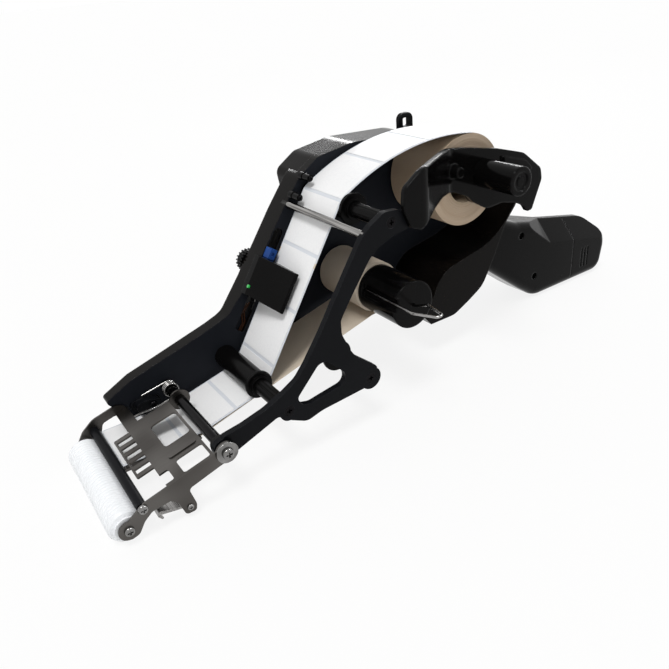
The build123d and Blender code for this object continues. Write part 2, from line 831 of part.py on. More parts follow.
def gear_carrier():
    """Plate that carries the far ends of the gear shafts and the motor."""
    level = gear_low - 2.4
    low, rear, high = carrier_posts
    t = takeup_axis
    m = motor_axis
    points = [
        (low[0] + 6, low[1] - 5), (t[0] + 12, t[1]), (t[0] + 6, t[1] + 12), (m[0] + 17, m[1] + 6),
        (high[0] + 5, high[1] + 6), (high[0] - 8, high[1] + 4), (rear[0] - 6, rear[1]),
        (rear[0], rear[1] - 6), (t[0] - 6, t[1] - 14), (low[0] - 6, low[1] - 5),
    ]
    body = slab(points, 4, level, level + 1.8)
    for at in carrier_posts:
        body += disc(at, 3.0, level, -wall - 0.02)
    body -= disc(takeup_axis, takeup_shaft + running_gap, level - 1, level + 3)
    body -= disc(idler_axis, 2.0 + running_gap, level - 1, level + 3)
    body -= disc(motor_axis, 4.52, level - 1, level + 3)
    return body


carrier_posts = [polar(takeup_axis, 31, -70), polar(idler_axis, 18, 215), polar(motor_axis, 17, 100)]


def circuit_board():
    """Control board with its larger parts."""
    low = -housing_depth + cover_wall + 6.0
    body = block(-88, -30, low, low + 1.6, 66, 104)
    body += block(-84, -72, low - 4.0, low + 0.1, 72, 84)
    body += block(-64, -46, low - 3.0, low + 0.1, 80, 98)
    body += disc((-38, 76), 4.0, low - 5.0, low + 0.1)
    for at in board_posts:
        body -= disc(at, 1.4, low - 1, low + 3)
    return body


board_posts = [(-84.0, 100.0), (-40.0, 100.0), (-55.0, 70.0)]


def hanging_eye():
    """Moulded eye on top of the housing for a hook or balancer."""
    x = -68.0
    y0 = -22.0
    base = 192.0
    lug = [(x - 8, base - 0.6), (x + 8, base + 0.4), (x + 8, base + 16), (x - 8, base + 16)]
    body = slab(lug, [1, 1, 6, 6], y0, y0 + 6)
    hole = [(x - 4.2, base + 4.0), (x + 4.2, base + 4.0), (x + 4.2, base + 12), (x - 4.2, base + 12)]
    body -= slab(hole, 1.4, y0 - 1, y0 + 7)
    body = fillet(body.edges().filter_by(GeomType.LINE).group_by(Axis.Z)[-1], 1.2)
    return body - prism(housing_outline(), -60, 10)


# Tip bracket
def on_bracket(b, m):
    """Point (x, z) at b forward along the sloping sheet and m above its lower face."""
    along = unit(-bracket_slope)
    out = (-along[1], along[0])
    x = bracket_rear[0] + b * along[0] + m * out[0]
    z = bracket_rear[1] + b * along[1] + m * out[1]
    return (x, z)


def sheet_patch(b0, b1, y0, y1, m0=0.0, m1=None, radius=0.0):
    """Rectangle of the sloping sheet with rounded plan corners."""
    m1 = sheet if m1 is None else m1
    start = on_bracket(0, 0)
    where = Pos(start[0], 0, start[1]) * Rot(Y=bracket_slope)
    corners = [(b0, y0, m0), (b1, y0, m0), (b1, y1, m0), (b0, y1, m0)]
    if radius > 0:
        face = make_face(FilletPolyline(*corners, radius=radius, close=True))
    else:
        face = make_face(Polyline(*corners, close=True))
    return where * extrude(face, amount=m1 - m0, dir=(0, 0, 1))


near_arm_points = [
    (202.0, 46.0), (209.0, 47.3), (217.0, 41.8), (271.5, 28.6), (277.5, 24.0), (286.5, 18.0),
    (290.0, 9.0), (284.0, 5.0), (278.0, 6.5), (272.8, 14.5), (266.5, 19.5), (253.0, 21.0),
    (248.5, 16.5), (244.8, 3.6), (237.2, 3.6), (236.0, 9.0), (239.2, 23.5), (214.5, 30.3),
    (202.0, 33.0),
]
near_arm_radii = [3, 4, 6, 8, 6, 5, 5, 3, 5, 10, 5, 5, 6, 3.4, 2.5, 8, 3, 8, 3]
far_arm_points = [
    (243.5, 32.5), (245.5, 38.0), (252.0, 40.0), (271.5, 35.0), (281.0, 27.5), (287.5, 17.5),
    (290.0, 9.0), (284.0, 5.0), (278.0, 6.5), (271.0, 15.5), (266.5, 23.0), (264.5, 28.8),
    (255.0, 31.2), (250.0, 31.0),
]
far_arm_radii = [0.4, 4, 6, 12, 10, 8, 5, 3, 5, 8, 5, 4, 6, 0.4]


def bracket_arm(points, radii, low):
    """Flat arm of the bracket, round at the wiping roller."""
    body = slab(points, radii, low, low + sheet)
    return body + disc(wiper_axis, 7.3, low, low + sheet)


def bracket():
    """Folded steel bracket: comb plate with windows, near arm, far arm and pivot lug."""
    near_level = bracket_near + sheet
    plate = sheet_patch(-0.5, comb_root, plate_far, near_level)
    plate += sheet_patch(comb_root - 10, comb_root + 0.5, bracket_far, plate_far + 4)
    for k in range(slot_count + 1):
        y = slot_first - slot_pitch + slot_width / 2 + k * slot_pitch
        plate += sheet_patch(comb_root - 1, comb_root + tooth_length, y, y + slot_pitch - slot_width)
    plate -= sheet_patch(1.5, 22.5, plate_far + 16, bracket_near - 37, -1, sheet + 1, 3.0)
    plate -= sheet_patch(1.5, 22.5, bracket_near - 18.5, bracket_near - 1.5, -1, sheet + 1, 2.0)
    edge = bracket_near - 15
    plate -= sheet_patch(comb_root - 7, comb_root + 2, edge, bracket_near - 2.5, -1, sheet + 1, 1.5)
    rib = bracket_near - 27
    plate += sheet_patch(3.0, 25.0, rib, rib + 4.5, sheet - 0.1, sheet + 0.9, 2.0)
    body = plate + bracket_arm(near_arm_points, near_arm_radii, bracket_near)
    body += disc(pivot, 8.2, bracket_near, near_level)
    body += bracket_arm(far_arm_points, far_arm_radii, bracket_far)
    body += disc(pivot, 8.6, plate_far, plate_far + sheet)
    lug = [(0.5, 8.0), (10.5, 0.9), (18.5, -1.0), (18.5, -2.0), (8.5, -2.0), (1.5, -7.5)]
    lug = [(pivot[0] + x, pivot[1] + z) for x, z in lug]
    body += slab(lug, [1, 3, 0.3, 0.3, 4, 1], plate_far, plate_far + sheet)
    body -= disc(pivot, pivot_neck + running_gap, bracket_near - 1, bracket_near + 3)
    body -= disc(pivot, pivot_radius + running_gap, plate_far - 1, plate_far + 3)
    for at in (bar_axis, wiper_axis):
        body -= disc(at, screw_radius + 0.1, -1, near_level + 1)
    return body - disc(leaf_hole, 1.25, bracket_near - 1, near_level + 1)


leaf_hole = (241.0, 8.7)


def tie_bar():
    """Black bar that joins the two arms of the bracket."""
    body = disc(bar_axis, bar_radius, bracket_far + sheet, bracket_near)
    body -= disc(bar_axis, screw_radius, bracket_far, bracket_far + 12)
    body -= disc(bar_axis, screw_radius, bracket_near - 10, bracket_near)
    return body


def wiper_axle():
    """Steel axle of the wiping roller, clamped between the arms."""
    body = disc(wiper_axis, 3.0, bracket_far + sheet, bracket_near)
    body -= disc(wiper_axis, screw_radius, bracket_far, bracket_far + 12)
    body -= disc(wiper_axis, screw_radius, bracket_near - 10, bracket_near)
    return body


def bracket_screws():
    """Pan-head screws on both arms, in the bar and in the roller axle."""
    out = []
    for at in (bar_axis, wiper_axis):
        out.append(pan_screw(at, bracket_near + sheet, 3.6, screw_radius - 0.02, 9))
        low = disc(at, 3.6, bracket_far - 1.9, bracket_far)
        low += disc(at, screw_radius - 0.02, bracket_far - 0.1, bracket_far + 9)
        out.append(fillet(low.edges().group_by(Axis.Y)[0], 0.9))
    return out


wiper_ribs = 30


def wiper_roller():
    """White wiping roller with fine ribs around it and stepped ends."""
    y0 = bracket_far + sheet + 1.2
    y1 = bracket_near - 1.2
    step = (y1 - y0 - 8.0) / wiper_ribs
    depth = 0.55
    profile = [(0, y0), (9.0, y0), (9.0, y0 + 1.5), (11.4, y0 + 2.6)]
    for k in range(wiper_ribs):
        at = y0 + 4.0 + k * step
        profile += [(wiper_radius - depth, at), (wiper_radius, at + 0.22 * step)]
        profile += [(wiper_radius, at + 0.62 * step), (wiper_radius - depth, at + 0.84 * step)]
    profile += [(wiper_radius - depth, y1 - 4.0), (11.4, y1 - 2.6), (9.0, y1 - 1.5), (9.0, y1), (0, y1)]
    face = make_face(Polyline(*[(r, y, 0) for r, y in profile], close=True))
    body = revolve(face, axis=Axis.Y, revolution_arc=360)
    body = Pos(wiper_axis[0], 0, wiper_axis[1]) * body
    body -= disc(wiper_axis, 3.0 + running_gap, y0 - 1, y1 + 1)
    return body


spring_wire = 0.7
spring_turns = 3.5
spring_start = 4.4
spring_pitch = 2.0
spring_radius = pivot_radius + 0.5 + spring_wire


spring_angle = 77.6
spring_rest = on_bracket(27.6, sheet)[1] + spring_wire + 0.1


def spring_path():
    """Centre line of the torsion spring: a leg by the block, the coil, a leg on the comb plate."""
    coil = Helix(spring_pitch, spring_pitch * spring_turns, spring_radius, lefthand=True)
    coil = Pos(pivot[0], spring_start, pivot[1]) * Rot(X=-90) * Rot(Z=-spring_angle) * coil
    start = coil @ 0
    end = coil @ 1
    first = Line(start - (coil % 0) * 22.0, start)
    straight = Line(end, end + (coil % 1) * 10.0)
    foot = Vector(243.5, 21.0, spring_rest)
    bend = Spline(straight @ 1, foot, tangents=(straight % 1, Vector(1, 0.5, 0.1)))
    return Wire([first.edge(), coil.edge(), straight.edge(), bend.edge()])


def torsion_spring():
    """Torsion spring on the front shaft, one unbroken wire."""
    path = spring_path()
    return sweep(Plane(path @ 0, z_dir=path % 0) * Circle(spring_wire), path=path)


def least_gap(path, radius):
    """Least gap of a round wire to itself, measured between points along its centre line."""
    count = 600
    points = [tuple(path @ (k / count)) for k in range(count + 1)]
    skip = math.ceil(math.pi * spring_radius * count / path.length)
    near = min(math.dist(p, q) for k, p in enumerate(points) for q in points[k + skip:])
    return near - 2 * radius


def stop_block():
    """Black block on the wall above the web, beside the front shaft."""
    plate = [(240.0, 36.5), (228.0, 38.3), (216.5, 34.5), (214.5, 27.0), (234.0, 26.5), (240.5, 30.0)]
    body = slab(plate, [4, 2, 2, 2, 3, 3], 0.02, 2.6)
    boss = [(238.0, 36.5), (228.0, 38.0), (218.0, 35.0), (216.5, 27.5), (236.0, 27.0)]
    body += slab(boss, [4, 3, 3, 2, 3], 2.5, 9.0)
    return body - disc(block_hole, 1.6, -1, 10)


block_hole = (224.0, 32.2)


def block_screw():
    """Screw that holds the stop block to the wall."""
    return pan_screw(block_hole, 9.0, 3.2, 1.55, 8.6)


peel_near = web_end + 4.0


def peel_plate():
    """Thin plate that the web slides over, with the rounded edge that peels the labels."""
    low = nose[1] - nose_radius
    high = nose[1] + nose_radius
    start = web_start - 0.3
    body = block(peel_heel[0], nose[0], start, peel_near, low, high)
    body += block(peel_heel[0], peel_root, 0.02, start + 0.1, low, high)
    return body + disc(nose, nose_radius, start, peel_near) + disc(peel_heel, nose_radius, 0.02, peel_near)


peel_root = 239.0


def guide_leaf():
    """Small bent leaf under the tab of the near arm."""
    points = [(238.5, 9.0), (247.5, 11.2), (262.5, 15.5), (263.6, 11.5), (261.0, 8.0), (259.8, 9.0)]
    points += [(261.4, 12.2), (247.8, 9.4), (238.5, 7.2)]
    return slab(points, 0.4, bracket_near - 8.0, bracket_near - 0.02)


def leaf_screw():
    """Small screw through the tab into the leaf."""
    return pan_screw(leaf_hole, bracket_near + sheet, 2.4, 1.2, 1.5)


# Sensor body
def across_web(points, u0, u1):
    """Solid with a (y, n) section, between two places along the slanted web."""
    origin, along, out = sensor_frame()
    base = on_web(u0, 0)
    shape = [(base[0] + n * out[0], y, base[1] + n * out[1]) for y, n in points]
    face = make_face(Polyline(*shape, close=True))
    return extrude(face, amount=u1 - u0, dir=(along[0], 0, along[1]))


wheel_face = -arm_depth_top - 1.0
sensor_u0 = -10.4
sensor_u1 = sensor_u0 + sensor_length


def sensor_housing():
    """Wedge-shaped sensor head over the web."""
    tip = sensor_lift + sensor_edge
    section = [(0.8, sensor_lift), (sensor_reach, sensor_lift), (sensor_reach, tip), (8, sensor_high), (0.8, sensor_high)]
    body = across_web(section, sensor_u0, sensor_u1)
    sharp = body.edges().filter_by(lambda e: e.length > 30)
    body = fillet(sharp, 0.9)
    lamp = lamp_place()
    body -= Pos(*lamp) * Rot(Y=lamp_tilt()) * Cylinder(1.5, 3.0)
    return body


def lamp_place():
    """Centre of the indicator lamp on the sloping top."""
    at = on_web(sensor_u1 - 7.4, sensor_high - 0.5)
    return (at[0], 9.2, at[1])


def lamp_tilt():
    """Angle of the lamp about Y."""
    return 90.0 - 33.6


def sensor_lamp():
    """Green indicator lamp."""
    lamp = lamp_place()
    body = Pos(*lamp) * Rot(Y=lamp_tilt()) * Cylinder(1.4, 2.4)
    return body


def sensor_fork():
    """Lower half of the sensor under the web, its carriage in the slot and the clamp stud."""
    low = [(0.8, -3.4), (30.0, -3.4), (30.0, -1.4), (2.2, -1.4), (2.2, sensor_lift), (0.8, sensor_lift)]
    body = across_web(low, sensor_u0 + 4, sensor_u1 - 4)
    body += prism(slot_outline(slot_half - slide_gap, -9.0, 14.0, 5.3), -wall + 0.2, 0.8)
    stud_end = wheel_face - thumb_thick + 1.2
    return body + disc(carriage, stem_radius, stud_end, -wall + 0.3)


def sensor_block():
    """Blue terminal block at the head of the carriage."""
    low = [(0.3, 5.0), (9.0, 5.0), (9.0, 11.0), (0.3, 11.0)]
    body = across_web(low, sensor_u0 - 9.0, sensor_u0 - 0.3)
    body -= disc(on_web(sensor_u0 - 4.6, 8.0), 1.6, 8.0, 10)
    return body


def sensor_tab():
    """Bright tab at the foot of the carriage."""
    low = [(0.3, 6.0), (7.0, 6.0), (7.0, 7.0), (0.3, 7.0)]
    return across_web(low, sensor_u1 + 0.02, sensor_u1 + 4.0)


def thumb_wheel():
    """Knurled wheel that clamps the carriage from outside."""
    face = wheel_face
    body = disc(carriage, thumb_radius - 1.2, face - thumb_thick, face)
    for k in range(thumb_teeth):
        angle = 360.0 / thumb_teeth * k
        tooth = [polar(carriage, thumb_radius - 1.6, angle - 6), polar(carriage, thumb_radius, angle - 3),
                 polar(carriage, thumb_radius, angle + 3), polar(carriage, thumb_radius - 1.6, angle + 6)]
        body += prism(make_face(Polyline(*[(x, 0, z) for x, z in tooth], close=True)), face - thumb_thick, face)
    return body - disc(carriage, stem_radius + running_gap, face - thumb_thick + 1.0, face)


def sensor_leads():
    """Two thin leads that cross the window in the wall below the sensor."""
    out = []
    for k in range(2):
        shift = 2.2 * k
        points = [
            (121.0 + shift, -wall - 0.65, 84.5), (127.5 + shift, -wall - 0.65, 77.0),
            (128.0 + shift, -wall - 0.65, 68.0), (138.0 + shift, -wall - 0.65, 56.0),
        ]
        path = FilletPolyline(*points, radius=[4.0, 4.0])
        out.append(sweep(Plane(path @ 0, z_dir=path % 0) * Circle(0.6), path=path))
    return out


# Grip
grip_points = [
    (-121.5, 107.0), (-163.0, 90.5), (-221.0, 77.5), (-280.0, 65.0), (-307.0, 41.0), (-300.0, 0.0),
    (-192.0, 0.0), (-172.0, 14.0), (-128.0, 47.0), (-101.5, 66.0),
]


def grip_top(x):
    """Height of the ridge line of the grip at a place along it."""
    p = grip_points[2]
    q = grip_points[3]
    return p[1] + (x - p[0]) * (q[1] - p[1]) / (q[0] - p[0])


def shoulder_cut(side, inset):
    """Wedge outside the sloping shoulder on one side of the grip."""
    sections = []
    for x, size in ((-170.0, 0.06), (-208.0, 1.0), (-330.0, 1.0)):
        high = grip_slope * size
        wide = high * 0.9
        edge = grip_mid + side * (grip_width / 2 - inset)
        top = grip_top(x) - inset
        low = (x, edge + side * 0.5 * wide, top - 1.5 * high)
        far = (x, edge - side * 1.5 * wide, top + 0.5 * high)
        out = (x, edge + side * 0.5 * wide, top + 0.5 * high)
        sections.append(make_face(Polyline(low, far, out, close=True)))
    return loft(sections, ruled=True)


def grip_shape(shrink, round_radius, y0, y1):
    """Grip body with sloping shoulders, drawn in by a wall thickness."""
    face = outline(grip_points, [2, 30, 60, 30, 26, 16, 24, 30, 20, 2])
    if shrink > 0:
        face = offset(face, -shrink)
    body = prism(face, y0, y1)
    rims = body.edges().group_by(Axis.Y)
    body = fillet(rims[0] + rims[-1], round_radius)
    inset = shrink * 1.3
    return body - shoulder_cut(1, inset) - shoulder_cut(-1, inset)


def grip_hollow():
    """Space inside the grip shells."""
    return grip_shape(grip_wall, grip_round - grip_wall, grip_y0 + grip_wall, grip_y1 - grip_wall)


def grip_shells():
    """Near shell, far shell and battery cover cut from one hollow body."""
    body = grip_shape(0, grip_round, grip_y0, grip_y1)
    posts = [disc(at, 4.6, grip_y0 + 1, grip_y1 - 1) for at in grip_screw_points]
    hollow = grip_hollow()
    for post in posts:
        hollow -= post
    x, z = switch_place
    hollow -= block(x + 2.0, x + 11.0, grip_y0 + 1, grip_mid - switch_half, z + 1.0, z + 7.0)
    body -= hollow
    body -= prism(casing_outline(), -60, 1) + prism(tray_face(), 0, tray_depth)
    # Trigger opening in the lower edge of the neck
    body -= block(-133, -104, grip_mid - 6.4, grip_mid + 6.4, 30, 70)
    for at in grip_screw_points:
        body -= disc(at, 1.65, grip_mid - 8, grip_y1)
        body -= disc(at, 3.6, grip_y1 - 7, grip_y1 + 1)
    body -= disc(trigger_axis, 2.0 + running_gap, grip_mid - 21.8, grip_mid + 21.8)
    far_side = block(-400, 0, -60, grip_mid, -50, 200)
    rear = block(-400, cover_split, -60, 120, -50, 200)
    cover = body & rear
    front = body - block(-400, cover_split + seat_gap, -60, 120, -50, 200)
    near = front - far_side
    far = front & far_side
    for k in range(3):
        x = cover_split - 16.0 - 5.0 * k
        cover -= block(x, x + 1.6, grip_y1 - 0.8, grip_y1 + 1, 14, 36)
    return near, far, cover


grip_screw_points = [(-163.0, 78.0), (-186.0, 27.0)]
trigger_axis = (-128.0, 74.0)
switch_place = (-144.0, 58.0)
switch_half = 5.0


def grip_screws():
    """Screws sunk in the near shell."""
    return [pan_screw(at, grip_y1 - 7, 3.0, 1.6, 14) for at in grip_screw_points]


def trigger():
    """Finger trigger in the underside of the neck."""
    points = [
        (-132.0, 78.0), (-124.0, 78.5), (-108.0, 68.0), (-105.5, 58.0), (-110.0, 48.0), (-115.0, 46.0),
        (-117.5, 50.0), (-117.0, 60.0), (-131.0, 70.0),
    ]
    body = slab(points, [3, 3, 3, 4, 3, 2, 2, 5, 3], grip_mid - 6.0, grip_mid + 6.0)
    body += disc(trigger_axis, 2.0, grip_mid - 21.4, grip_mid + 21.4)
    return body


def trigger_switch():
    """Small switch that the trigger presses."""
    x, z = switch_place
    front = x + 13.5
    body = block(x, front, grip_mid - switch_half, grip_mid + switch_half, z, z + 8.0)
    return body + block(front - 0.1, front + 3.0, grip_mid - 2, grip_mid + 2, z + 2.5, z + 5.5)


def cells():
    """Battery cells side by side in the grip."""
    out = []
    low = grip_wall + cell_radius + 1.4
    for k in range(2):
        for j in range(2):
            y = grip_mid + (2 * k - 1) * (cell_radius + 0.3)
            z = low + j * (2 * cell_radius + 0.4)
            can = Pos(-287.0 + j * 2, y, z) * Rot(Y=90) * Cylinder(
                cell_radius, cell_length, align=(Align.CENTER, Align.CENTER, Align.MIN))
            out.append(can)
    return out


def cell_tray():
    """Tray that the cells lie in."""
    x0 = -252.0
    x1 = x0 + 24.0
    half = 2 * cell_radius + 1.5
    body = block(x0, x1, grip_mid - half, grip_mid + half, grip_wall + 0.02, 30)
    lower = [e for e in body.edges() if e.length > 20 and e.center().Z < 5 and e.bounding_box().size.X > 20]
    body = fillet(lower, 3.0)
    for can in cells():
        grown = can.bounding_box()
        centre = ((grown.min.Y + grown.max.Y) / 2, (grown.min.Z + grown.max.Z) / 2)
        body -= Pos(x0 - 1, centre[0], centre[1]) * Rot(Y=90) * Cylinder(
            cell_radius + 0.1, 30, align=(Align.CENTER, Align.CENTER, Align.MIN))
    return body


def cover_screws():
    """Screws that hold the outer cover, sunk in its far face."""
    out = []
    for at in screw_posts:
        low = -housing_depth + 8
        head = disc(at, 3.0, low - 2.0, low)
        shank = disc(at, 1.55, low - 0.1, -wall - 1.5)
        out.append(head + shank)
    return out


def all_pieces():
    """Every named piece, still in profile coordinates."""
    near, far, cover = grip_shells()
    return {
        "main_casing": [main_casing()],
        "outer_cover": [outer_cover()],
        "arm_back_plate": [arm_back()],
        "side_plate": [side_plate()],
        "pivot_shaft": [pivot_shaft()],
        "pivot_bushes": bushes(),
        "pivot_washer": [pivot_washer()],
        "pivot_screw": [pivot_screw()],
        "tie_rod": [tie_rod()],
        "guide_spindles": spindles(),
        "plate_screws": plate_screws(),
        "upper_roller": [guide_roller(upper_axis, upper_barrel)],
        "lower_roller": [guide_roller(lower_axis, lower_barrel)],
        "foot_roller": [guide_roller(foot_axis, foot_barrel)],
        "upper_collar": [collar(upper_axis, upper_barrel)],
        "lower_collar": [collar(lower_axis, lower_barrel)],
        "foot_collar": [collar(foot_axis, foot_barrel)],
        "web_pegs": web_pegs(),
        "wall_screws": peg_screws() + [block_screw()],
        "liner_web": [liner_web()],
        "labels": [labels()],
        "supply_spindle": [supply_spindle()],
        "roll_core": [roll_core()],
        "label_roll": [label_roll()],
        "retaining_arm": [retaining_arm()],
        "retaining_knob": [handwheel()],
        "takeup_hub": [takeup_hub()],
        "liner_clip": [liner_clip()],
        "liner_roll": [liner_roll()],
        "drive_gear": [drive_gear()],
        "idler_gear": [idler_gear()],
        "motor_pinion": [motor_pinion()],
        "motor": [motor()],
        "gear_carrier": [gear_carrier()],
        "circuit_board": [circuit_board()],
        "hanging_eye": [hanging_eye()],
        "tip_bracket": [bracket()],
        "tie_bar": [tie_bar()],
        "wiper_axle": [wiper_axle()],
        "bracket_screws": bracket_screws() + [leaf_screw()],
        "wiper_roller": [wiper_roller()],
        "torsion_spring": [torsion_spring()],
        "stop_block": [stop_block()],
        "peel_plate": [peel_plate()],
        "guide_leaf": [guide_leaf()],
        "sensor_housing": [sensor_housing()],
        "sensor_lamp": [sensor_lamp()],
        "sensor_fork": [sensor_fork()],
        "sensor_block": [sensor_block()],
        "sensor_tab": [sensor_tab()],
        "thumb_wheel": [thumb_wheel()],
        "sensor_leads": sensor_leads(),
        "grip_shell_near": [near],
        "grip_shell_far": [far],
        "battery_cover": [cover],
        "shell_screws": grip_screws() + cover_screws(),
        "trigger": [trigger()],
        "trigger_switch": [trigger_switch()],
        "cell_tray": [cell_tray()],
        "battery_cells": cells(),
    }


def solids_of(items):
    """Flat list of the solids in a list of shapes."""
    out = []
    for item in items:
        out.extend(item.solids())
    return out


def footprint_shift(pieces):
    """Move that puts the middle of the footprint, on the table, at the origin."""
    box = Compound(children=[s for items in pieces.values() for s in solids_of(items)]).bounding_box()
    return (-(box.min.X + box.max.X) / 2, -(box.min.Y + box.max.Y) / 2, -box.min.Z)


def main():
    """Build every piece and write one file for each."""
    os.makedirs("parts", exist_ok=True)
    pieces = all_pieces()
    shift = footprint_shift(pieces)
    for name, items in pieces.items():
        solids = [Pos(*shift) * s for s in solids_of(items)]
        shape = solids[0] if len(solids) == 1 else Compound(children=solids)
        export_step(shape, f"parts/{name}.step")
    print("origin shift", [round(v, 4) for v in shift])
    print("least gap of the spring to itself", round(least_gap(spring_path(), spring_wire), 3), "mm")


if __name__ == "__main__":
    main()
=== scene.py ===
import json
import math
import random

import bmesh
import bpy
from mathutils import Matrix, Vector

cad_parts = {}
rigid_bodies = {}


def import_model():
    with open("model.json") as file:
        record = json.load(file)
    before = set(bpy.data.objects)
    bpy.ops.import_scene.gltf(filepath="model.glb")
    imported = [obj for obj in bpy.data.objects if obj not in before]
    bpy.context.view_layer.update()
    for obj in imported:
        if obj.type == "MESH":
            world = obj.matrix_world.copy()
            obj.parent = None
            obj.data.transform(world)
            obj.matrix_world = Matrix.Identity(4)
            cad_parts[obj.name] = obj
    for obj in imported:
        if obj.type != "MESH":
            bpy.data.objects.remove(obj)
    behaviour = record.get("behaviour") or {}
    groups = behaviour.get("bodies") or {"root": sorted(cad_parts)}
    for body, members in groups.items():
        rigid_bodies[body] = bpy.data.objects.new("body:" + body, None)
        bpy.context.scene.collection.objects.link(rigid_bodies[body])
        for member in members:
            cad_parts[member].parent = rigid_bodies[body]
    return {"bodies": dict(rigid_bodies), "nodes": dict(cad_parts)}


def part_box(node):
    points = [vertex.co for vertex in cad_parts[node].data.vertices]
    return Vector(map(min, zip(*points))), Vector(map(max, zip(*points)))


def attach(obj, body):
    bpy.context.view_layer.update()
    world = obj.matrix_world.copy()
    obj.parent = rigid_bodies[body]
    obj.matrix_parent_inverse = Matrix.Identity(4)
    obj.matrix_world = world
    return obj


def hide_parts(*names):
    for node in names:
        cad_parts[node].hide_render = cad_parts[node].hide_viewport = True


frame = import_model()
nodes = frame["nodes"]

# What a new Blender file holds besides the frame is cleared away
loaded = {*nodes.values(), *frame["bodies"].values()}
for item in list(bpy.data.objects):
    if item not in loaded:
        bpy.data.objects.remove(item)
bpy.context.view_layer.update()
scene = bpy.context.scene
MM = 0.001


# Places in the frame, in metres
def centre_of(node):
    """Centre (x, z) of a node's box."""
    low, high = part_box(node)
    return ((low.x + high.x) / 2, (low.z + high.z) / 2)


roll_centre = centre_of("label_roll")
hub_centre = centre_of("liner_roll")

# Face of the casing's inner wall, 3.5 mm behind the label roll
wall_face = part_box("label_roll")[0].y - 3.5 * MM

# Origin of the casing's profile, 51 mm behind the axis of the upper roller
frame_x = centre_of("upper_roller")[0] - 51.0 * MM


def at(x, y, z):
    """Point in the frame from millimetres: x and z in the profile, y from the wall's face."""
    return Vector((frame_x + x * MM, wall_face + y * MM, z * MM))


# Camera at the photograph's viewing angle, for a square picture
plate_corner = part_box("side_plate")[0]
camera_place = plate_corner + Vector((0.29632, 0.36670, 0.29336))
camera_right = Vector((-0.8244, 0.5597, -0.0839))
camera_up = Vector((-0.3304, -0.3556, 0.8743))
camera_back = Vector((0.4597, 0.7490, 0.4780))
camera_lens = 35.52


def make_camera():
    """Camera placed from the side plate, with its axes as the photograph has them."""
    data = bpy.data.cameras.new("photo_camera")
    data.sensor_width = 36.0
    data.lens = camera_lens
    data.clip_start = 0.01
    data.clip_end = 50.0
    camera = bpy.data.objects.new("photo_camera", data)
    scene.collection.objects.link(camera)
    turn = Matrix((camera_right, camera_up, camera_back)).transposed().to_4x4()
    camera.matrix_world = Matrix.Translation(camera_place) @ turn
    scene.camera = camera


make_camera()

# Materials; a noise texture mostly fills the range from noise_low to noise_high
noise_low = 0.3
noise_high = 0.7


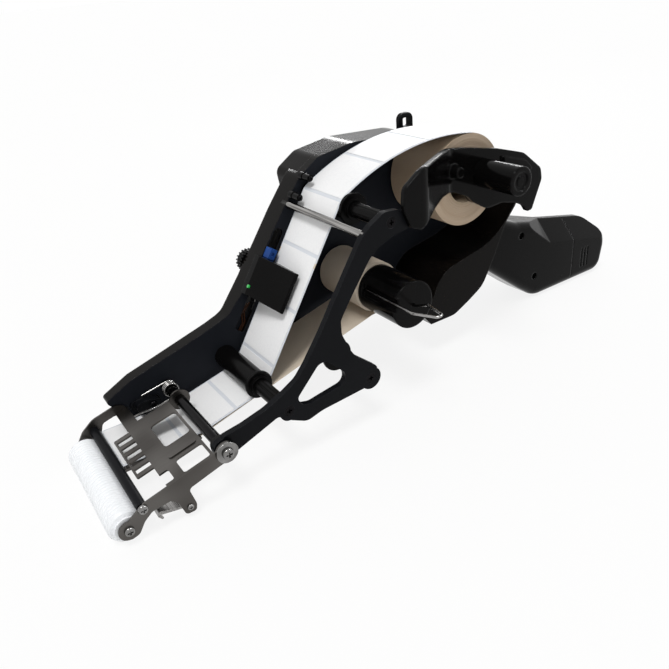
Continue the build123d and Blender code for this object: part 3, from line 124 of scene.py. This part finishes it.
class Shader:
    """A material under construction, with short calls for the nodes used most."""

    def __init__(self, name, roughness=0.5, metallic=0.0):
        self.material = bpy.data.materials.new(name)
        self.material.use_nodes = True
        self.tree = self.material.node_tree
        self.bsdf = self.tree.nodes["Principled BSDF"]
        self.bsdf.inputs["Roughness"].default_value = roughness
        self.bsdf.inputs["Metallic"].default_value = metallic
        self.place = self.node("ShaderNodeTexCoord").outputs["Object"]

    def node(self, kind, **settings):
        """New node of a kind, with settings of its own."""
        made = self.tree.nodes.new(kind)
        for key, value in settings.items():
            setattr(made, key, value)
        return made

    def link(self, source, target):
        self.tree.links.new(source, target)

    def set(self, name, value):
        self.bsdf.inputs[name].default_value = value

    def feed(self, name, source):
        self.link(source, self.bsdf.inputs[name])

    def apart(self, vector):
        """The X, Y and Z outputs of a vector."""
        parts = self.node("ShaderNodeSeparateXYZ")
        self.link(vector, parts.inputs[0])
        return parts.outputs["X"], parts.outputs["Y"], parts.outputs["Z"]

    def stretched(self, scale):
        """Place vector stretched by a scale for each axis."""
        mapping = self.node("ShaderNodeMapping")
        mapping.inputs["Scale"].default_value = scale
        self.link(self.place, mapping.inputs["Vector"])
        return mapping.outputs["Vector"]

    def noise(self, scale, detail, rough, vector=None):
        texture = self.node("ShaderNodeTexNoise")
        texture.inputs["Scale"].default_value = scale
        texture.inputs["Detail"].default_value = detail
        texture.inputs["Roughness"].default_value = rough
        self.link(vector or self.place, texture.inputs["Vector"])
        return texture.outputs["Fac"]

    def span(self, value, low, high, out_low, out_high):
        """Value carried from one range to another and held at its ends."""
        mapped = self.node("ShaderNodeMapRange")
        limits = {"From Min": low, "From Max": high, "To Min": out_low, "To Max": out_high}
        for name, number in limits.items():
            mapped.inputs[name].default_value = number
        self.link(value, mapped.inputs["Value"])
        return mapped.outputs["Result"]

    def spread(self, noise, out_low, out_high):
        """Noise carried from the range that it mostly fills to another."""
        return self.span(noise, noise_low, noise_high, out_low, out_high)

    def mix(self, factor, first, second):
        """Colour between two colours or colour sockets."""
        blend = self.node("ShaderNodeMix", data_type="RGBA")
        self.link(factor, blend.inputs[0])
        for socket, colour in ((blend.inputs[6], first), (blend.inputs[7], second)):
            if isinstance(colour, tuple):
                socket.default_value = (*colour, 1.0)
            else:
                self.link(colour, socket)
        return blend.outputs[2]

    def mix_value(self, factor, first, second):
        """Number between two number sockets."""
        blend = self.node("ShaderNodeMix", data_type="FLOAT")
        self.link(factor, blend.inputs[0])
        self.link(first, blend.inputs[2])
        self.link(second, blend.inputs[3])
        return blend.outputs[0]

    def math(self, operation, first, second):
        made = self.node("ShaderNodeMath", operation=operation)
        for socket, value in ((made.inputs[0], first), (made.inputs[1], second)):
            if isinstance(value, (int, float)):
                socket.default_value = value
            else:
                self.link(value, socket)
        return made.outputs[0]

    def radius(self, centre):
        """Distance from an axis along Y through a centre (x, z)."""
        mapping = self.node("ShaderNodeMapping")
        mapping.inputs["Location"].default_value = (-centre[0], 0.0, -centre[1])
        mapping.inputs["Scale"].default_value = (1.0, 0.0, 1.0)
        self.link(self.place, mapping.inputs["Vector"])
        length = self.node("ShaderNodeVectorMath", operation="LENGTH")
        self.link(mapping.outputs["Vector"], length.inputs[0])
        return length.outputs["Value"]

    def rounded(self, size):
        """Normal that rounds the edges, and a mask that is 1 along them."""
        bevel = self.node("ShaderNodeBevel")
        bevel.samples = 4
        bevel.inputs["Radius"].default_value = size
        shape = self.node("ShaderNodeNewGeometry")
        dot = self.node("ShaderNodeVectorMath", operation="DOT_PRODUCT")
        self.link(bevel.outputs["Normal"], dot.inputs[0])
        self.link(shape.outputs["True Normal"], dot.inputs[1])
        return bevel.outputs["Normal"], self.span(dot.outputs["Value"], 0.99, 0.80, 0.0, 1.0)

    def bump(self, height, depth, normal=None):
        """Normal of an uneven surface of a depth, over a normal that may be given."""
        made = self.node("ShaderNodeBump")
        made.inputs["Distance"].default_value = depth
        made.inputs["Strength"].default_value = 1.0
        self.link(height, made.inputs["Height"])
        if normal is not None:
            self.link(normal, made.inputs["Normal"])
        return made.outputs["Normal"]


# Mouldings reflect far less than the usual 0.5, which keeps the blacks deep
moulded_specular = 0.06


def moulded(name, dark, pale, rough, grain, depth, wear_and_highlight, round_size=0.5 * MM):
    """Moulded or painted surface: fine grain, uneven gloss, and edges lightened in patches, partly as
    rubbed wear and partly as a painted highlight.
    """
    s = Shader(name)
    cloud = s.noise(22.0, 1.5, 0.5)
    normal, edge = s.rounded(round_size)
    # Edges lighten in patches: partly rubbed wear, partly a painted highlight along them
    patchy = s.span(s.noise(140.0, 3.0, 0.7), 0.42, 0.62, 0.0, wear_and_highlight)
    rubbed_and_highlit = s.math("MULTIPLY", edge, patchy)
    body = s.mix(cloud, dark, pale)
    rubbed_and_highlight_colour = tuple(min(1.0, 4.0 * c + 0.05) for c in pale)
    s.feed("Base Color", s.mix(rubbed_and_highlit, body, rubbed_and_highlight_colour))
    scratch = s.noise(1.0, 2.0, 0.5, s.stretched((35.0, 60.0, 900.0)))
    scratched = s.span(scratch, 0.62, 0.75, 0.0, 0.12)
    s.feed("Roughness", s.math("ADD", s.spread(cloud, *rough), scratched))
    s.feed("Normal", s.bump(s.noise(grain, 2.0, 0.5), depth, normal))
    s.set("Specular IOR Level", moulded_specular)
    return s.material


def sheet_metal(name, dark, pale):
    """Rolled sheet: soft clouds of tone and gloss with faint rolling lines."""
    s = Shader(name, metallic=1.0)
    cloud = s.noise(30.0, 1.0, 0.4)
    lines = s.noise(1.0, 2.0, 0.5, s.stretched((25.0, 420.0, 25.0)))
    clouded = s.math("MULTIPLY", s.spread(cloud, 0.0, 1.0), 0.8)
    tone = s.math("ADD", clouded, s.math("MULTIPLY", lines, 0.2))
    s.feed("Base Color", s.mix(tone, dark, pale))
    s.feed("Roughness", s.spread(cloud, 0.29, 0.33))
    return s.material


def metal(name, dark, pale, rough, streak, depth):
    """Bare or plated metal with streaks from rolling, drawing or turning."""
    s = Shader(name, metallic=1.0)
    lines = s.noise(1.0, 4.0, 0.6, s.stretched(streak))
    cloud = s.noise(60.0, 3.0, 0.6)
    s.feed("Base Color", s.mix(s.span(lines, 0.35, 0.65, 0.0, 1.0), dark, pale))
    dulled = s.span(cloud, 0.5, 0.75, 0.0, 0.06)
    s.feed("Roughness", s.math("ADD", s.spread(lines, *rough), dulled))
    s.feed("Normal", s.bump(lines, depth))
    return s.material


def paper(name, base, shade, fibre, rough, depth):
    """Paper with fibres, faint cloudiness and a slightly uneven surface."""
    s = Shader(name)
    fibres = s.noise(fibre, 5.0, 0.7)
    cloud = s.noise(30.0, 3.0, 0.6)
    fibrous = s.span(fibres, 0.4, 0.7, 0.0, 1.0)
    s.feed("Base Color", s.mix(s.math("MULTIPLY", fibrous, s.spread(cloud, 0.25, 1.0)), base, shade))
    s.feed("Roughness", s.spread(fibres, *rough))
    s.feed("Normal", s.bump(fibres, depth))
    return s.material


def casing_material():
    """Glossy brown-black moulding with a satin inner wall, whose blue-grey colour is a painted sheen
    of light.
    """
    s = Shader("casing_gloss")
    cloud = s.noise(18.0, 1.5, 0.5)
    normal, edge = s.rounded(1.1 * MM)
    shape = s.node("ShaderNodeNewGeometry")
    facing = s.span(s.apart(shape.outputs["True Normal"])[1], 0.9, 0.98, 0.0, 1.0)
    level = s.math("LESS_THAN", s.apart(s.place)[1], wall_face + 0.5 * MM)
    wall_mask = s.math("MULTIPLY", facing, level)
    # Edges lighten in patches: partly rubbed wear, partly a painted highlight along the rims
    patchy = s.span(s.noise(160.0, 3.0, 0.7), 0.42, 0.62, 0.0, 0.4)
    rubbed_and_highlit = s.math("MULTIPLY", edge, patchy)
    gloss_colour = s.mix(cloud, (0.0022, 0.0018, 0.0015), (0.0055, 0.0045, 0.0040))
    # The inner wall's blue-grey is painted light of the lit wall; its satin roughness is the real
    # finish
    wall_painted_sheen_colour = s.mix(cloud, (0.007, 0.008, 0.011), (0.015, 0.017, 0.022))
    body = s.mix(wall_mask, gloss_colour, wall_painted_sheen_colour)
    s.feed("Base Color", s.mix(rubbed_and_highlit, body, (0.10, 0.09, 0.085)))
    smooth = s.spread(cloud, 0.07, 0.15)
    satin = s.spread(s.noise(300.0, 3.0, 0.6), 0.40, 0.55)
    s.feed("Roughness", s.mix_value(wall_mask, smooth, satin))
    s.feed("Normal", s.bump(s.noise(1400.0, 2.0, 0.5), 0.003 * MM, normal))
    s.set("Specular IOR Level", moulded_specular)
    return s.material


# The bared liner runs back under the peel plate and rises behind its heel, close under the
# web, as far as the lower roller. On the hub's side it is all that lies under hub_side_z.
peel_low, peel_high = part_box("peel_plate")
peel_level = (peel_low.z + peel_high.z) / 2
heel_x = peel_low.x
return_run = 0.2
return_slope = 0.2523
roller_rear_x = centre_of("lower_roller")[0] - 10.8 * MM
roller_rise = 2.0 * MM
hub_side_x = centre_of("foot_roller")[0] + 11.9 * MM
hub_side_z = hub_centre[1] + 38.0 * MM


def liner_material():
    """Glassine backing: pale blue-grey on the web, tan-grey where it is bared."""
    s = Shader("liner_paper")
    fibres = s.noise(700.0, 5.0, 0.7)
    x, _, z = s.apart(s.place)
    behind_heel = s.span(x, heel_x - return_run, heel_x, return_run * return_slope, 0.0)
    past_roller = s.span(x, roller_rear_x - 0.1 * MM, roller_rear_x + 0.1 * MM, roller_rise, 0.0)
    run_level = s.math("ADD", behind_heel, past_roller)
    below_web = s.math("LESS_THAN", s.math("SUBTRACT", z, run_level), peel_level)
    hub_side = s.math("LESS_THAN", x, hub_side_x)
    below_hub_web = s.math("LESS_THAN", z, hub_side_z)
    bared = s.math("MAXIMUM", below_web, s.math("MULTIPLY", hub_side, below_hub_web))
    web = s.mix(fibres, (0.60, 0.63, 0.68), (0.72, 0.74, 0.77))
    back = s.mix(fibres, (0.60, 0.51, 0.40), (0.72, 0.63, 0.52))
    s.feed("Base Color", s.mix(bared, web, back))
    s.feed("Roughness", s.spread(fibres, 0.34, 0.50))
    s.feed("Normal", s.bump(fibres, 0.02 * MM))
    return s.material


def wound_material(name, centre, pale, tan, rings):
    """Edge of wound stock: fine rings of two papers, with a fibrous surface."""
    s = Shader(name)
    along = s.node("ShaderNodeCombineXYZ")
    s.link(s.radius(centre), along.inputs[0])
    fine = s.noise(rings, 3.0, 0.8, along.outputs[0])
    wide = s.noise(rings * 0.12, 2.0, 0.5, along.outputs[0])
    fibres = s.noise(800.0, 4.0, 0.7)
    layers = s.span(fine, 0.35, 0.65, 0.0, 1.0)
    s.feed("Base Color", s.mix(s.math("MULTIPLY", layers, s.spread(wide, 0.35, 1.0)), pale, tan))
    s.feed("Roughness", s.spread(fibres, 0.55, 0.75))
    s.feed("Normal", s.bump(s.math("ADD", s.math("MULTIPLY", fine, 2.0), fibres), 0.05 * MM))
    return s.material


def silicone_material():
    """White silicone of the wiping roller, a little translucent."""
    s = Shader("silicone_white")
    cloud = s.noise(45.0, 4.0, 0.6)
    s.feed("Base Color", s.mix(cloud, (0.80, 0.82, 0.85), (0.88, 0.89, 0.90)))
    s.feed("Roughness", s.spread(cloud, 0.38, 0.52))
    s.set("Subsurface Weight", 0.15)
    s.set("Subsurface Radius", (0.003, 0.003, 0.003))
    s.feed("Normal", s.bump(s.noise(900.0, 3.0, 0.6), 0.03 * MM))
    return s.material


def lamp_material():
    """Green indicator lens with a faint glow."""
    s = Shader("lamp_green", roughness=0.15)
    cloud = s.noise(900.0, 2.0, 0.5)
    s.feed("Base Color", s.mix(cloud, (0.0, 0.20, 0.02), (0.03, 0.42, 0.08)))
    s.set("Emission Color", (0.05, 0.9, 0.15, 1.0))
    s.set("Emission Strength", 0.15)
    s.set("Coat Weight", 0.5)
    return s.material


def board_material():
    """Circuit board in two greens, with paler tracks that stand a little proud."""
    s = Shader("board_green", roughness=0.35)
    brick = s.node("ShaderNodeTexBrick")
    brick.inputs["Scale"].default_value = 180.0
    brick.inputs["Color1"].default_value = (0.01, 0.13, 0.04, 1.0)
    brick.inputs["Color2"].default_value = (0.02, 0.20, 0.07, 1.0)
    brick.inputs["Mortar"].default_value = (0.06, 0.30, 0.12, 1.0)
    s.link(s.place, brick.inputs["Vector"])
    s.feed("Base Color", brick.outputs["Color"])
    s.feed("Normal", s.bump(brick.outputs["Fac"], 0.03 * MM))
    return s.material


black = (0.0016, 0.0015, 0.0015)
soft_black = (0.0042, 0.0040, 0.0040)
finishes = {
    "casing": casing_material(),
    "grip": moulded("grip_gloss", black, soft_black, rough=(0.07, 0.15), grain=900.0,
                    depth=0.006 * MM, wear_and_highlight=0.15, round_size=2.2 * MM),
    "plate": moulded("plate_satin", (0.0028, 0.0030, 0.0038), (0.0065, 0.0070, 0.0088),
                     rough=(0.30, 0.42), grain=1500.0, depth=0.012 * MM, wear_and_highlight=0.4),
    "plastic": moulded("black_plastic", black, soft_black, rough=(0.18, 0.30), grain=1300.0,
                       depth=0.008 * MM, wear_and_highlight=0.2, round_size=0.35 * MM),
    "rubber": moulded("black_washer", (0.010, 0.010, 0.010), (0.022, 0.021, 0.020),
                      rough=(0.5, 0.65), grain=1800.0, depth=0.03 * MM, wear_and_highlight=0.2),
    "anodised": metal("black_anodised", (0.006, 0.006, 0.0065), (0.013, 0.012, 0.013),
                      rough=(0.16, 0.26), streak=(700.0, 14.0, 700.0), depth=0.0008 * MM),
    "rod": metal("bright_steel", (0.12, 0.115, 0.11), (0.40, 0.39, 0.38),
                 rough=(0.10, 0.18), streak=(900.0, 16.0, 900.0), depth=0.0008 * MM),
    "sheet": sheet_metal("brushed_sheet", (0.060, 0.055, 0.051), (0.125, 0.118, 0.111)),
    "screw": metal("screw_steel", (0.15, 0.147, 0.142), (0.28, 0.275, 0.27),
                   rough=(0.16, 0.28), streak=(60.0, 60.0, 60.0), depth=0.0002 * MM),
    "spring": metal("spring_steel", (0.22, 0.213, 0.205), (0.38, 0.372, 0.365),
                    rough=(0.14, 0.24), streak=(60.0, 60.0, 60.0), depth=0.0002 * MM),
    "label": paper("label_white", (0.86, 0.86, 0.86), (0.80, 0.80, 0.81),
                   fibre=500.0, rough=(0.34, 0.50), depth=0.015 * MM),
    "liner": liner_material(),
    "board": paper("core_board", (0.46, 0.36, 0.25), (0.34, 0.25, 0.17),
                   fibre=420.0, rough=(0.72, 0.88), depth=0.08 * MM),
    "roll": wound_material("roll_edge", roll_centre, (0.52, 0.41, 0.30), (0.34, 0.23, 0.14),
                           rings=1500.0),
    "liner_roll": wound_material("liner_edge", hub_centre, (0.70, 0.61, 0.50), (0.52, 0.43, 0.33),
                                 rings=1600.0),
    "silicone": silicone_material(),
    "lamp": lamp_material(),
    "blue": moulded("block_blue", (0.012, 0.045, 0.20), (0.02, 0.08, 0.30),
                    rough=(0.30, 0.42), grain=1200.0, depth=0.02 * MM, wear_and_highlight=0.1),
    "lead": moulded("lead_brown", (0.045, 0.018, 0.009), (0.085, 0.034, 0.018),
                    rough=(0.35, 0.5), grain=1500.0, depth=0.01 * MM, wear_and_highlight=0.1),
    "nylon": moulded("gear_nylon", (0.66, 0.64, 0.58), (0.76, 0.75, 0.70),
                     rough=(0.38, 0.5), grain=1000.0, depth=0.02 * MM, wear_and_highlight=0.05),
    "circuit": board_material(),
    "motor": metal("motor_can", (0.38, 0.38, 0.39), (0.55, 0.55, 0.56),
                   rough=(0.3, 0.42), streak=(500.0, 20.0, 500.0), depth=0.01 * MM),
    "cell": moulded("cell_sleeve", (0.02, 0.16, 0.06), (0.04, 0.28, 0.11),
                    rough=(0.25, 0.35), grain=1000.0, depth=0.01 * MM, wear_and_highlight=0.1),
}
wears = {
    "casing": ["main_casing", "outer_cover", "arm_back_plate", "supply_spindle"],
    "grip": ["grip_shell_near", "grip_shell_far", "battery_cover", "trigger", "retaining_arm",
             "retaining_knob", "takeup_hub"],
    "plate": ["side_plate", "hanging_eye", "tie_bar", "stop_block"],
    "plastic": ["upper_roller", "lower_roller", "foot_roller", "upper_collar", "lower_collar",
                "foot_collar", "web_pegs", "sensor_housing", "sensor_fork", "thumb_wheel",
                "trigger_switch", "cell_tray"],
    "rubber": ["pivot_bushes"],
    "anodised": ["pivot_shaft", "plate_screws", "wall_screws"],
    "rod": ["tie_rod", "guide_spindles", "wiper_axle", "gear_carrier", "sensor_tab", "guide_leaf"],
    "sheet": ["tip_bracket", "peel_plate"],
    "screw": ["bracket_screws", "shell_screws", "pivot_screw", "pivot_washer"],
    "spring": ["liner_clip", "torsion_spring"],
    "label": ["labels"],
    "liner": ["liner_web"],
    "board": ["roll_core"],
    "roll": ["label_roll"],
    "liner_roll": ["liner_roll"],
    "silicone": ["wiper_roller"],
    "lamp": ["sensor_lamp"],
    "blue": ["sensor_block"],
    "lead": ["sensor_leads"],
    "nylon": ["drive_gear", "idler_gear", "motor_pinion"],
    "circuit": ["circuit_board"],
    "motor": ["motor"],
    "cell": ["battery_cells"],
}
for finish, names in wears.items():
    for name in names:
        nodes[name].material_slots[0].material = finishes[finish]


# Pieces built in mesh code
def make_piece(name, shape, finish):
    """Object with a finish from a bmesh, which is used up."""
    bmesh.ops.recalc_face_normals(shape, faces=shape.faces)
    mesh = bpy.data.meshes.new(name)
    shape.to_mesh(mesh)
    shape.free()
    mesh.materials.append(finishes[finish])
    piece = bpy.data.objects.new(name, mesh)
    scene.collection.objects.link(piece)
    return piece


def bridge(shape, ring, after):
    """Band of faces between two closed rings of vertices."""
    for k in range(len(ring)):
        j = (k + 1) % len(ring)
        shape.faces.new((ring[k], ring[j], after[j], after[k]))


def turned(profile, centre, segments):
    """Ring turned from a closed (radius, y) profile about an axis along Y."""
    shape = bmesh.new()
    rings = []
    for k in range(segments):
        angle = 2 * math.pi * k / segments
        c, s = math.cos(angle), math.sin(angle)
        rings.append([shape.verts.new((centre[0] + r * c, y, centre[1] + r * s)) for r, y in profile])
    for ring, after in zip(rings, rings[1:] + rings[:1]):
        bridge(shape, ring, after)
    return shape


# Each turn of wound stock fills 0.86 of its pitch and stands up to 0.3 mm in from the edge
turn_share = 0.86
turn_drop = 0.30
roll_segments = 160


def wound_roll(node, inner, turn, seed):
    """Wound stock in a node's box, whose turns stand slightly unevenly at both ends."""
    low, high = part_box(node)
    centre = centre_of(node)
    outer = (high.x - low.x) / 2
    chance = random.Random(seed)
    count = int((outer - inner) / turn)
    near, far = [], []
    for k in range(count):
        r0 = inner + k * (outer - inner) / count
        r1 = r0 + turn_share * (outer - inner) / count
        drop = chance.uniform(0.0, turn_drop) * MM
        near += [(r0, high.y - drop), (r1, high.y - drop)]
        drop = chance.uniform(0.0, turn_drop) * MM
        far += [(r0, low.y + drop), (r1, low.y + drop)]
    near[-1] = (outer, near[-1][1])
    far[-1] = (outer, far[-1][1])
    return turned(near + far[::-1], centre, roll_segments)


core_outer = (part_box("roll_core")[1].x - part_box("roll_core")[0].x) / 2
hub_neck = 18.2 * MM
seat = 0.02 * MM

supply_stock = wound_roll("label_roll", core_outer + seat, 0.6 * MM, 3)
supply_roll = make_piece("supply_roll", supply_stock, "roll")
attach(supply_roll, "supply")
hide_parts("label_roll")

liner_stock = wound_roll("liner_roll", hub_neck + seat, 0.35 * MM, 5)
wound_liner = make_piece("wound_liner", liner_stock, "liner_roll")
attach(wound_liner, "takeup")
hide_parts("liner_roll")

# The sensor's slot runs along the slanted web and 5.3 mm out of it; all in millimetres
web_along = Vector((0.5485, -0.8361))
web_out = Vector((0.8361, 0.5485))
web_place = Vector((100.4536, 108.1402))
slot_middle = web_place + 5.3 * web_out
slot_ends = (-37.0, 44.0)
slot_half = 4.2
arc_steps = 8
seal_outer = 4.15
seal_inner = 2.15
seal_front = -4.5
seal_slope = 0.2
seal_back = -10.2


def slot_loop(half):
    """Loop (x, z) with round ends at a distance from the slot's middle line."""
    loop = []
    for end, turn in ((slot_ends[1] - slot_half, -90.0), (slot_ends[0] + slot_half, 90.0)):
        for k in range(arc_steps + 1):
            angle = math.radians(turn + 180.0 * k / arc_steps)
            reach = end + half * math.cos(angle)
            loop.append(slot_middle + reach * web_along + half * math.sin(angle) * web_out)
    return loop


def slot_seal():
    """Rubber lips that close the sensor's slot on both sides of the clamp stud."""
    outer, inner = slot_loop(seal_outer), slot_loop(seal_inner)
    section = [(outer, seal_front), (inner, seal_front - seal_slope),
               (inner, seal_back), (outer, seal_back)]
    shape = bmesh.new()
    rings = [[shape.verts.new(at(p.x, y, p.y)) for p in loop] for loop, y in section]
    for ring, after in zip(rings, rings[1:] + rings[:1]):
        bridge(shape, ring, after)
    seal = make_piece("slot_seal", shape, "rubber")
    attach(seal, "casing")


# The bracket's sheet slopes from its rear point to the tips of the comb; in millimetres
sheet_rear = Vector((216.5, 39.8))
sheet_slope = math.radians(13.3)
sheet_along = Vector((math.cos(sheet_slope), -math.sin(sheet_slope)))
sheet_up = Vector((-sheet_along.y, sheet_along.x))
half_sheet = 0.75
comb_tips = 49.2
lip_levels = (34.2, 86.6)
lip_rim = 0.3
lip_end_half = 0.5
lip_width = 1.25
lip_corners = 12


def comb_lip():
    """Thin rolled lip that joins the fingers of the comb along their tips."""
    middle = sheet_rear + comb_tips * sheet_along + half_sheet * sheet_up
    start, end = lip_levels
    section = [(start, lip_end_half), (start + lip_rim, half_sheet),
               (end - lip_rim, half_sheet), (end, lip_end_half)]
    shape = bmesh.new()
    rings = []
    for y, half in section:
        ring = []
        for k in range(lip_corners):
            angle = 2 * math.pi * k / lip_corners
            across = lip_width * half * math.cos(angle)
            spot = middle + across * sheet_along + half * math.sin(angle) * sheet_up
            ring.append(shape.verts.new(at(spot.x, y, spot.y)))
        rings.append(ring)
    for ring, after in zip(rings, rings[1:]):
        bridge(shape, ring, after)
    shape.faces.new(rings[0])
    shape.faces.new(rings[-1][::-1])
    lip = make_piece("comb_lip", shape, "sheet")
    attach(lip, "bracket")


slot_seal()
comb_lip()

# Floor, light and background
object_middle = Vector((0.0, 0.0, 0.1))
floor_half = 40.0
floor_drop = 0.2 * MM
floor_white = 0.85
horizon_height = 0.1
overhead_level = 0.5
direct_rays = ("Is Camera Ray", "Is Glossy Ray", "Is Transmission Ray")


def strip_light(name, place, size, power, colour=(1.0, 1.0, 1.0)):
    """Long lamp aimed at the object, which shows in gloss and adds no light to dull surfaces."""
    data = bpy.data.lights.new(name, "AREA")
    data.shape = "RECTANGLE"
    data.size, data.size_y = size
    data.energy = power
    data.color = colour
    lamp = bpy.data.objects.new(name, data)
    scene.collection.objects.link(lamp)
    lamp.location = place
    aim = object_middle - Vector(place)
    lamp.rotation_euler = aim.to_track_quat("-Z", "Y").to_euler()
    lamp.visible_diffuse = False


def soft_sun(name, direction, strength, spread):
    """Even light from far away, soft as from a large window; the spread is in degrees."""
    data = bpy.data.lights.new(name, "SUN")
    data.energy = strength
    data.angle = math.radians(spread)
    lamp = bpy.data.objects.new(name, data)
    scene.collection.objects.link(lamp)
    lamp.rotation_euler = Vector(direction).to_track_quat("Z", "Y").to_euler()


def make_floor():
    """Wide pale floor just under the object, nearly white as seen and in reflections."""
    corners = [(-floor_half, -floor_half, 0), (floor_half, -floor_half, 0),
               (floor_half, floor_half, 0), (-floor_half, floor_half, 0)]
    mesh = bpy.data.meshes.new("floor")
    mesh.from_pydata(corners, [], [(0, 1, 2, 3)])
    floor = bpy.data.objects.new("floor", mesh)
    scene.collection.objects.link(floor)
    floor.location.z = -floor_drop
    s = Shader("floor_pale", roughness=0.7)
    s.feed("Base Color", s.mix(s.noise(3.0, 2.0, 0.5), (0.84, 0.84, 0.83), (0.88, 0.88, 0.87)))
    seen = s.node("ShaderNodeEmission")
    seen.inputs["Color"].default_value = (1.0, 1.0, 1.0, 1.0)
    rays = s.node("ShaderNodeLightPath")
    choose = s.node("ShaderNodeMixShader")
    direct = rays.outputs[direct_rays[0]]
    for kind in direct_rays[1:]:
        direct = s.math("MAXIMUM", direct, rays.outputs[kind])
    s.link(s.math("MULTIPLY", direct, floor_white), choose.inputs[0])
    s.link(s.bsdf.outputs[0], choose.inputs[1])
    s.link(seen.outputs[0], choose.inputs[2])
    s.link(choose.outputs[0], s.tree.nodes["Material Output"].inputs["Surface"])
    floor.data.materials.append(s.material)


def make_world():
    """White surround as seen and in reflections, dimmer overhead for dull surfaces."""
    world = bpy.data.worlds.new("studio")
    scene.world = world
    world.use_nodes = True
    tree = world.node_tree
    back = tree.nodes["Background"]
    back.inputs["Color"].default_value = (1.0, 1.0, 1.0, 1.0)
    place = tree.nodes.new("ShaderNodeTexCoord")
    parts = tree.nodes.new("ShaderNodeSeparateXYZ")
    fade = tree.nodes.new("ShaderNodeMapRange")
    fade.inputs["From Min"].default_value = 0.0
    fade.inputs["From Max"].default_value = horizon_height
    fade.inputs["To Min"].default_value = 1.0
    fade.inputs["To Max"].default_value = overhead_level
    tree.links.new(place.outputs["Generated"], parts.inputs[0])
    tree.links.new(parts.outputs["Z"], fade.inputs["Value"])
    rays = tree.nodes.new("ShaderNodeLightPath")
    level = fade.outputs["Result"]
    for kind in direct_rays:
        seen = tree.nodes.new("ShaderNodeMath")
        seen.operation = "MAXIMUM"
        tree.links.new(level, seen.inputs[0])
        tree.links.new(rays.outputs[kind], seen.inputs[1])
        level = seen.outputs[0]
    tree.links.new(level, back.inputs["Strength"])


scene.view_settings.view_transform = "Standard"
make_floor()
make_world()
soft_sun("key_soft", direction=(0.30, 0.22, 1.0), strength=1.85, spread=20.0)
strip_light("window_strip", place=(-1.1, 0.7, 1.2), size=(0.08, 0.9), power=16.0,
            colour=(0.95, 0.98, 1.0))
strip_light("back_strip", place=(-1.3, -1.5, 0.75), size=(1.6, 0.08), power=10.0)
